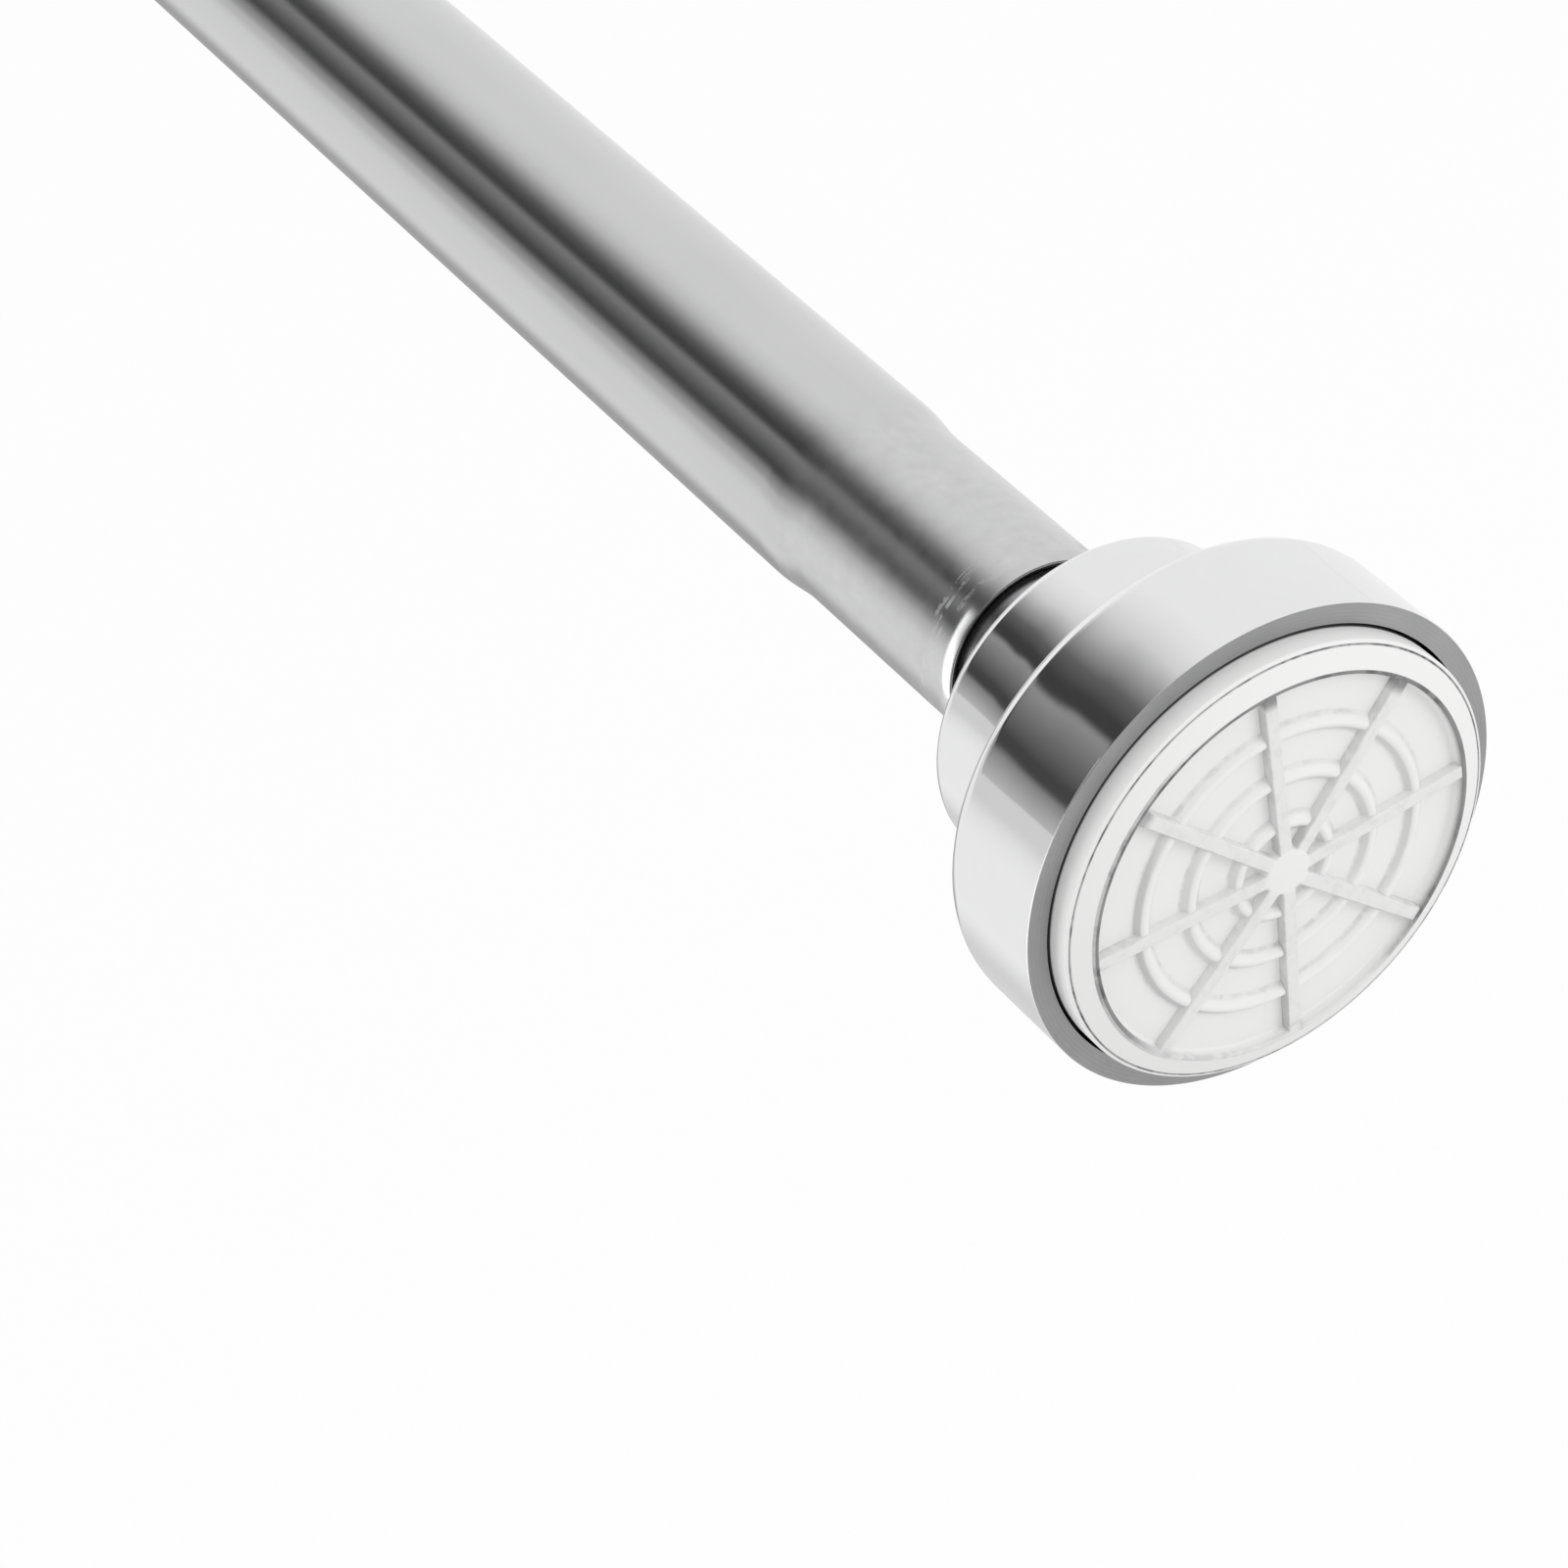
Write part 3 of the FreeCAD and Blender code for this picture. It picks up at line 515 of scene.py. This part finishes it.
def pad_rubber(pad):
    """White rubber: matte and finely grained, with painted shade along spokes, ribs, edges and the
    gap, mixed with grime and wear.
    """
    material, r = new_recipe("PadRubber")
    place = r.object_place()
    x, y, z = r.axes(place)
    radius = axis_distance(y, z)
    half, edge = pad.spoke_width / 2, pad.tread_radius

    # Where on the pad: distance to the nearest spoke's middle, and the sides that take painted
    # shade
    sector = math.tau / pad.spokes
    angle = (z.math("ARCTAN2", z, y) - pad.spoke_turn) / sector + 0.5
    side = radius * ((angle.run("FRACT") - 0.5) * sector).run("SINE")
    beside = abs(side)
    on_spoke = 1.0 - beside.rise(half - 0.05 * MM, half + 0.15 * MM)
    tread = radius.rise(pad.hub_radius - 0.2 * MM, pad.hub_radius + 0.2 * MM) * (
        1.0 - radius.rise(edge - 0.05 * MM, edge + 0.05 * MM))
    outward = radius.rise(15.0 * MM, 20.0 * MM)
    above = z.rise(-20.0 * MM, -12.0 * MM)
    upper = z.rise(4.0 * MM, 19.0 * MM)
    near = (0.0 - y).rise(10.0 * MM, 20.0 * MM)

    # How worn it is there
    smear = r.noise(place, 700.0, 4.0)
    worn = smear.rise(0.38, 0.62) * r.noise(place, 150.0, 2.0).rise(0.36, 0.60)

    # Spokes: painted shade on their walls, most on the walls that face away from the key lamp and
    # further out, painted shade at their outer ends, most on the upper spokes, each uneven with
    # wear, and smudges on their tops
    shaded_wall = (side * (z - y) / radius).rise(0.0, 0.5 * MM)
    walls = beside.line(half - 0.02 * MM, 0.06 * MM, 0.10 * MM) * (
        worn * 0.12 + 0.04 + shaded_wall * 0.15 + outward * 0.07)
    ends = on_spoke * radius.rise(edge - 2.2 * MM, edge - 0.4 * MM) * (
        worn * 0.2 + 0.06 + upper * 0.72)
    tops = on_spoke * (smear.rise(0.45, 0.70) * 0.07 + 0.07)

    # Ring ribs: painted shade at their feet, uneven with wear, and on the flank that faces away
    # from the key lamp, as far as the outer rib and off the spokes
    across = ((radius / pad.web_spacing + 0.5).run("FRACT") - 0.5) * pad.web_spacing
    ring = abs(across)
    shaded_flank = (across * (0.0 - y - z) / radius).rise(0.0, 0.5 * MM)
    feet = ring.line(pad.web_foot / 2, 0.08 * MM, 0.30 * MM) * (worn * 0.16 + 0.08)
    flank = ring.line(0.75 * MM, 0.15 * MM, 0.25 * MM) * shaded_flank
    feet = feet.larger(flank * (outward * 0.25 + 0.17))
    feet = feet * (1.0 - radius.rise(19.0 * MM, 19.5 * MM)) * (1.0 - on_spoke)
    # Painted shade and smudges on the tread, as one mask
    marks = walls.larger(ends).larger(tops).larger(feet) * tread

    # Edges: painted shade along the tread's brink, strong except at the bottom, with a second line
    # on the viewer's side, painted shade in the fine groove, both uneven with wear, and painted
    # shade on the pad's side down in the gap inside the cap's rim
    brink = radius.line(edge + 0.22 * MM, 0.20 * MM, 0.10 * MM) * (
        worn * 0.20 + 0.12 + above * 0.68)
    lip = radius.line(edge + 0.55 * MM, 0.15 * MM, 0.12 * MM)
    brink = brink.larger(lip * near * (worn * 0.3 + 0.40))
    groove = radius.line(pad.groove_radius, 0.09 * MM, 0.07 * MM) * (worn * 0.45 + 0.40)
    depth = x.smaller(ROD_LENGTH - x)
    gap = depth.rise(pad.rim_depth - 0.1 * MM, pad.rim_depth + 0.15 * MM)

    # All the painted shade, with the grime and wear in it, as one mask
    shade_and_grime = marks.larger(brink).larger(groove).larger(gap)
    grain = r.noise(place, 1900.0, 3.0)
    r.surface({
        "Base Color": r.mixed(shade_and_grime, pad.rubber, pad.shade_and_grime),
        "Roughness": grain * 0.12 + 0.50, "Specular IOR Level": 0.35,
        "Normal": r.bump(grain + smear, 0.01 * MM)})
    return material


# Pieces

class ROD_OT_tubes(bpy.types.Operator):
    """Outer tube with its swaged mouth, the bush in it and the inner tube"""

    bl_idname = "rod.tubes"
    bl_label = "Tubes"

    def execute(self, context):
        t = context.scene.rod_tubes
        low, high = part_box("outer_tube")
        radius = high.z
        mouth, seat = high.x, low.x
        lip = mouth - t.lip_length
        neck = mouth - t.neck_length
        taper = neck - t.taper_length
        neck_radius = radius - t.neck_drop
        outer = lathe([
            (seat, radius - t.outer_wall, 0), (seat, radius, 0),
            (taper, radius, t.taper_round), (neck, neck_radius, t.taper_round),
            (lip, neck_radius, t.lip_round), (mouth, neck_radius - t.lip_drop, t.mouth_round),
            (mouth, neck_radius - t.outer_wall, 0),
            (neck, neck_radius - t.outer_wall, 0), (taper, radius - t.outer_wall, 0)])
        finish_piece(outer, "OuterTube", "outer_tube", "outer",
                     [drawn_steel("PolishedSteel", t.steel, 0.12, (taper, neck, lip))])

        low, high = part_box("mouth_bush")
        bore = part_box("inner_tube")[1].z + t.bush_gap
        bush = lathe([
            (low.x, bore, 0), (low.x, high.z, 0),
            (high.x, high.z, t.bush_round), (high.x, bore, t.bush_round)])
        finish_piece(bush, "MouthBush", "mouth_bush", "outer",
                     [moulded_plastic("BushPlastic", t.bush)])

        low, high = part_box("inner_tube")
        inner = lathe([
            (low.x, high.z - t.inner_wall, 0), (low.x, high.z, 0),
            (high.x, high.z, 0), (high.x, high.z - t.inner_wall, 0)])
        finish_piece(inner, "InnerTube", "inner_tube", "inner",
                     [drawn_steel("SatinSteel", t.inner_steel, gloss=0.24)])
        return {"FINISHED"}


class ROD_OT_caps(bpy.types.Operator):
    """The two stepped caps"""

    bl_idname = "rod.caps"
    bl_label = "Caps"

    def finish_number(self, c, depth, radius, rim, step, back):
        """Which of the cap's finishes a face takes: 0 plating, 1 satin rim, 2 bare inside, made
        near-black as painted shade.
        """
        cavity = DRUM_RADIUS - c.rim_width
        if depth < rim + ON_FACE:
            return 1
        in_bore = radius < c.bore + ON_FACE
        in_front = radius < cavity + ON_FACE and depth < step - c.wall / 2
        in_rear = radius < c.collar_radius - c.wall + ON_FACE and depth < back - c.wall / 2
        return 2 if in_bore or in_front or in_rear else 0

    def execute(self, context):
        c = context.scene.rod_caps
        finishes = [plated_plastic(c.plating), satin_rim(c.rim),
                    moulded_plastic("CapInsideShade", c.inside, gloss=0.55)]
        for side, body in ENDS.items():
            node = side + "_cap"
            rim, back = sorted(end_x(side, corner.x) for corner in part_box(node))
            step = rim + c.drum_length
            web = rim + c.web_setback
            sleeve = c.bore + c.sleeve_wall
            cavity = DRUM_RADIUS - c.rim_width
            corners = [
                (rim, cavity, 0), (rim, DRUM_RADIUS, c.rim_round),
                (step, DRUM_RADIUS, c.step_round), (step, c.collar_radius, c.small_round),
                (back, c.collar_radius, c.back_round), (back, c.bore, c.small_round),
                (web + c.web_thickness, c.bore, 0), (web + c.web_thickness, c.nose_hole, 0),
                (web, c.nose_hole, 0), (web, sleeve, 0), (back - c.wall, sleeve, 0),
                (back - c.wall, c.collar_radius - c.wall, 0),
                (step - c.wall, c.collar_radius - c.wall, 0), (step - c.wall, cavity, 0)]
            cap = lathe([(end_x(side, depth), radius, size) for depth, radius, size in corners])
            for face in cap.faces:
                middle = face.calc_center_median()
                face.material_index = self.finish_number(
                    c, end_x(side, middle.x), middle.yz.length, rim, step, back)
            finish_piece(cap, side.capitalize() + "Cap", node, body, finishes)
        return {"FINISHED"}


class ROD_OT_pads(bpy.types.Operator):
    """The two soft pads with their web tread"""

    bl_idname = "rod.pads"
    bl_label = "Pads"

    def floor(self, p, radius):
        """Depth of the crowned tread floor at a radius."""
        part = (p.tread_radius - radius) / (p.tread_radius - p.hub_radius)
        return p.tread_edge + p.tread_depth - p.tread_crown * part

    def ring_corners(self, p):
        """Three rounded ring ribs on the tread's floor, from the outside in."""
        corners = []
        half, top = p.web_foot / 2, p.web_foot / 6
        for ring in (3, 2, 1):
            middle = ring * p.web_spacing
            outer, inner = self.floor(p, middle + half), self.floor(p, middle - half)
            crest = self.floor(p, middle) - p.web_height
            corners += [(outer, middle + half, p.foot_round), (crest, middle + top, p.floor_round),
                        (crest, middle - top, p.floor_round), (inner, middle - half, p.foot_round)]
        return corners

    def add_spokes(self, pad, side, p):
        """Flat-topped spokes with rounded edges, from inside the hub to the tread's wall."""
        under_floor, under_hub, past_wall, start = 0.4 * MM, 0.04 * MM, 0.15 * MM, 1.0 * MM
        root = p.tread_edge + p.tread_depth + under_floor
        far = p.tread_radius + past_wall
        outline = [(root, start), (under_hub, start), (under_hub, p.hub_radius),
                   (p.tread_edge + p.spoke_drop, far), (root, far)]
        spoke = bmesh.new()
        sheet = spoke.faces.new([spoke.verts.new((end_x(side, depth), -p.spoke_width / 2, radius))
                                 for depth, radius in outline])
        grown = bmesh.ops.extrude_face_region(spoke, geom=[sheet])["geom"]
        moved = [item for item in grown if isinstance(item, bmesh.types.BMVert)]
        bmesh.ops.translate(spoke, verts=moved, vec=(0, p.spoke_width, 0))
        floor_x, clear = end_x(side, root), 0.1 * MM
        top_edges = [edge for edge in spoke.edges if edge.verts[0].co.y == edge.verts[1].co.y
                     and all(abs(floor_x - vert.co.x) > clear for vert in edge.verts)]
        bmesh.ops.bevel(spoke, geom=top_edges, offset=p.spoke_round, segments=SPOKE_SEGMENTS,
                        offset_type="OFFSET", profile=0.5, affect="EDGES", material=-1)
        bmesh.ops.rotate(spoke, verts=spoke.verts[:], cent=(0, 0, 0),
                         matrix=Matrix.Rotation(p.spoke_turn - math.pi / 2, 3, "X"))
        bmesh.ops.spin(spoke, geom=spoke.verts[:] + spoke.edges[:] + spoke.faces[:],
                       cent=(0, 0, 0), axis=(1, 0, 0), dvec=(0, 0, 0), use_duplicate=True,
                       angle=math.tau * (p.spokes - 1) / p.spokes, steps=p.spokes - 1)
        made = bpy.data.meshes.new("Spokes")
        spoke.to_mesh(made)
        spoke.free()
        pad.from_mesh(made)
        bpy.data.meshes.remove(made)

    def execute(self, context):
        p = context.scene.rod_pads
        rubber = pad_rubber(p)
        outer = DRUM_RADIUS - context.scene.rod_caps.rim_width - p.gap
        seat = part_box("right_pad")[1].z
        foot_back, edge, groove = p.foot_front + p.foot, p.tread_radius, p.groove_radius
        corners = [
            (foot_back, 0.0, 0), (foot_back, seat, 0), (p.foot_front, seat, 0),
            (p.foot_front, outer, 0), (p.edge_drop, outer, p.shoulder),
            (p.edge_drop, groove + p.groove, 0), (p.edge_drop + p.groove_depth, groove, 0),
            (p.edge_drop - p.groove / 2, groove - p.groove, 0),
            (p.tread_edge, edge + p.brink, p.edge_round),
            (p.tread_edge + p.lean, edge, p.brink_round),
            (self.floor(p, edge), edge - p.lean, p.floor_round),
            *self.ring_corners(p),
            (self.floor(p, p.hub_radius), p.hub_radius + p.lean, p.foot_round),
            (0.0, p.hub_radius - p.lean, p.edge_round), (0.0, 0.0, 0)]
        for side, body in ENDS.items():
            pad = lathe([(end_x(side, depth), radius, size) for depth, radius, size in corners])
            self.add_spokes(pad, side, p)
            bmesh.ops.recalc_face_normals(pad, faces=pad.faces[:])
            finish_piece(pad, side.capitalize() + "Pad", side + "_pad", body,
                         [rubber], crease=40.0)
        return {"FINISHED"}


class ROD_OT_spring(bpy.types.Operator):
    """Coil spring in the inner tube, with a closed turn at each end"""

    bl_idname = "rod.spring"
    bl_label = "Spring"

    def execute(self, context):
        s = context.scene.rod_spring
        low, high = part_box("spring")
        half, long = s.wire / 2, high.x - low.x
        coil = bmesh.new()
        bmesh.ops.create_circle(coil, cap_ends=True, segments=WIRE_SEGMENTS, radius=half,
                                matrix=Matrix.Translation((low.x + half, high.y - half, 0.0)))
        last = coil.verts[:] + coil.edges[:] + coil.faces[:]
        closed_turn = (1, s.end_lead)
        open_turns = (s.coils - 2, long - s.wire - 2 * s.end_lead)
        for turns, run in (closed_turn, open_turns, closed_turn):
            steps = turns * COIL_STEPS
            last = bmesh.ops.spin(coil, geom=last, cent=(0, 0, 0), axis=(1, 0, 0),
                                  dvec=(run / steps, 0, 0), angle=math.tau * turns,
                                  steps=steps)["geom_last"]
        bmesh.ops.recalc_face_normals(coil, faces=coil.faces[:])
        piece = finish_piece(coil, "Spring", "spring", "inner",
                             [plated_steel("SpringSteel", s.steel, gloss=0.28)])
        1 - s.travel / long
        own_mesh(piece)
        return {"FINISHED"}


class ROD_OT_fittings(bpy.types.Operator):
    """Finishes of the plugs, screws and lock, which keep their CAD shape"""

    bl_idname = "rod.fittings"
    bl_label = "Fittings"

    def execute(self, context):
        colours = context.scene.rod_fittings
        black = moulded_plastic("BlackMoulding", colours.black)
        white = moulded_plastic("WhiteMoulding", colours.white)
        zinc = plated_steel("ZincSteel", colours.zinc, gloss=0.22)
        finishes = {
            "left_plug": black, "right_plug": black, "lock_collar": black, "guide_plug": black,
            "spring_stop": black, "cone_nut": white, "left_screw": zinc, "right_screw": zinc,
            "collar_clip": zinc, "spindle": zinc, "spring_washer": zinc, "spindle_nut": zinc}
        for node, material in finishes.items():
            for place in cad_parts[node].material_slots:
                place.material = material
        return {"FINISHED"}


class ROD_OT_stage(bpy.types.Operator):
    """Pale floor, studio light and the camera"""

    bl_idname = "rod.stage"
    bl_label = "Stage"

    def make_floor(self, studio):
        """A wide pale floor that shows white to the camera and keeps a faint shadow."""
        ground = bmesh.new()
        bmesh.ops.create_grid(
            ground, x_segments=1, y_segments=1, size=studio.floor_size,
            matrix=Matrix.Translation((ROD_LENGTH / 2, 0, -studio.floor_drop)))
        mesh = bpy.data.meshes.new("Floor")
        ground.to_mesh(mesh)
        ground.free()
        floor = new_object("Floor", mesh)
        mesh.materials.append(self.floor_paper())

    def floor_paper(self):
        """White paper, which mirrors show darker under the rod, as a painted shadow, and far on
        the viewer's side, as a painted darker tone.
        """
        material, r = new_recipe("FloorPaper")
        place = r.object_place()
        x, y = r.axes(place)[:2]
        seen = r.add("ShaderNodeLightPath")
        mirrored = r.wire(seen, "Is Glossy Ray").larger(r.wire(seen, "Is Transmission Ray"))
        shown = r.wire(seen, "Is Camera Ray").larger(mirrored)
        # Painted shadow of the rod and painted darker tone far on the viewer's side, which only
        # mirrors see
        along = 0.52 - x.rise(0.08, 0.11) * 0.26
        under_rod = y.rise(-0.16, 0.0) * (1.0 - y.rise(0.15, 0.25)) * along
        far = (1.0 - y.rise(-1.6, -0.5)) * 0.25
        fibre = r.noise(place, 40.0, 4.0)
        paper = r.add("ShaderNodeBsdfDiffuse", {}, {
            "Color": r.mixed(fibre, (0.86, 0.86, 0.86), (0.90, 0.90, 0.90))})
        glow = r.add("ShaderNodeEmission", {}, {
            "Color": r.grey(1.0 - mirrored * (under_rod + far + 0.06)), "Strength": 1.0})
        both = r.add("ShaderNodeMixShader", {}, {
            0: shown * 0.92, 1: paper.outputs[0], 2: glow.outputs[0]})
        r.add("ShaderNodeOutputMaterial", {}, {"Surface": both.outputs[0]})
        return material

    def make_world(self):
        """Studio light all round the rod: white behind and overhead, dark on the viewer's side."""
        world = bpy.data.worlds.new("Studio")
        bpy.context.scene.world = world
        world.use_nodes = True
        r = Recipe(world.node_tree)
        way = r.add("ShaderNodeTexCoord").outputs["Generated"]
        x, y, z = r.axes(way)
        sway = (r.noise(way, 1.6, 2.0, (30.0, 1.0, 1.0)) - 0.5) * 0.03
        # Turns about the rod: 0 is level behind it, 0.25 overhead and 0.5 level in front
        turn = z.math("ARCTAN2", z, y) / math.tau + sway
        round_rod = r.add("ShaderNodeValToRGB", {"stops": [
            (0.0, 0.92), (0.22, 0.91), (0.25, 0.84), (0.278, 0.70), (0.308, 0.37),
            (0.336, 0.13), (0.364, 0.05), (0.381, 0.05), (0.389, 0.30), (0.422, 0.16),
            (0.450, 0.06), (0.464, 0.06), (0.473, 0.25), (0.506, 0.50), (0.533, 0.66),
            (0.561, 0.84), (0.59, 0.90)]}, {"Fac": turn.run("FRACT")})
        beyond_left_end = (0.0 - x).rise(0.84, 0.90) * 0.97
        level = r.wire(round_rod, "Color").larger(beyond_left_end)
        seen = r.add("ShaderNodeLightPath")
        shown, mirrored = r.wire(seen, "Is Camera Ray"), r.wire(seen, "Is Glossy Ray")
        tone = (1.0 - mirrored) * 0.88 + mirrored * level + shown * 0.12
        sky = r.add("ShaderNodeBackground", {}, {"Color": r.grey(tone), "Strength": 1.0})
        r.add("ShaderNodeOutputWorld", {}, {"Surface": sky.outputs[0]})

    def make_lamp(self, name, place, aim, size, watts, mirrored):
        """A soft lamp of a width and a height; mirrors show it only where mirrored."""
        data = bpy.data.lights.new(name, "AREA")
        data.shape = "RECTANGLE"
        data.size, data.size_y = size
        data.energy = watts
        lamp = new_object(name, data)
        lamp.location = place
        lamp.rotation_euler = (aim - place).to_track_quat("-Z", "Y").to_euler()
        lamp.visible_glossy = mirrored

    def make_camera(self, studio):
        """The camera of the photograph's right end."""
        data = bpy.data.cameras.new("Camera")
        data.sensor_width = SENSOR_WIDTH
        data.lens = studio.lens
        camera = new_object("Camera", data)
        rim = Vector((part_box("right_cap")[1].x, 0.0, 0.0))
        camera.location = rim + Vector(studio.camera_place)
        camera.rotation_euler = Vector(studio.camera_aim).to_track_quat("-Z", "Y").to_euler()
        bpy.context.scene.camera = camera

    def execute(self, context):
        studio = context.scene.rod_studio
        context.scene.view_settings.view_transform = "Standard"
        self.make_floor(studio)
        self.make_world()
        end = Vector((ROD_LENGTH, 0.0, 0.0))
        self.make_lamp("KeyLamp", end + Vector(studio.key_place), end,
                       (studio.key_size, studio.key_size), studio.key_power, mirrored=False)
        mouth = Vector((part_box("outer_tube")[1].x, 0.0, 0.0))
        beside = mouth + Vector(studio.strip_place)
        self.make_lamp("MouthStrip", beside, Vector((beside.x, 0.0, beside.z)),
                       (studio.strip_width, studio.strip_height), studio.strip_power,
                       mirrored=True)
        self.make_camera(studio)
        return {"FINISHED"}


class ROD_PT_panel(bpy.types.Panel):
    """The rod's steps in the 3D view's sidebar"""

    bl_idname = "ROD_PT_panel"
    bl_label = "Spring Tension Rod"
    bl_space_type = "VIEW_3D"
    bl_region_type = "UI"
    bl_category = "Rod"

    def draw(self, context):
        for step in STEPS:
            self.layout.operator(step.bl_idname)


STEPS = (ROD_OT_tubes, ROD_OT_caps, ROD_OT_pads, ROD_OT_spring, ROD_OT_fittings, ROD_OT_stage)
GROUPS = {"rod_tubes": RodTubeSizes, "rod_caps": RodCapSizes, "rod_pads": RodPadSizes,
          "rod_spring": RodSpringSizes, "rod_fittings": RodFittingColours,
          "rod_studio": RodStudio}
CLASSES = (*GROUPS.values(), *STEPS, ROD_PT_panel)


def register():
    for item in CLASSES:
        bpy.utils.register_class(item)
    for name, group in GROUPS.items():
        setattr(bpy.types.Scene, name, PointerProperty(type=group))


def unregister():
    for name in GROUPS:
        delattr(bpy.types.Scene, name)
    for item in reversed(CLASSES):
        bpy.utils.unregister_class(item)


def main():
    """Registers the add-on and makes every piece."""
    register()
    bpy.ops.rod.tubes()
    bpy.ops.rod.caps()
    bpy.ops.rod.pads()
    bpy.ops.rod.spring()
    bpy.ops.rod.fittings()
    bpy.ops.rod.stage()


if __name__ == "__main__":
    main()
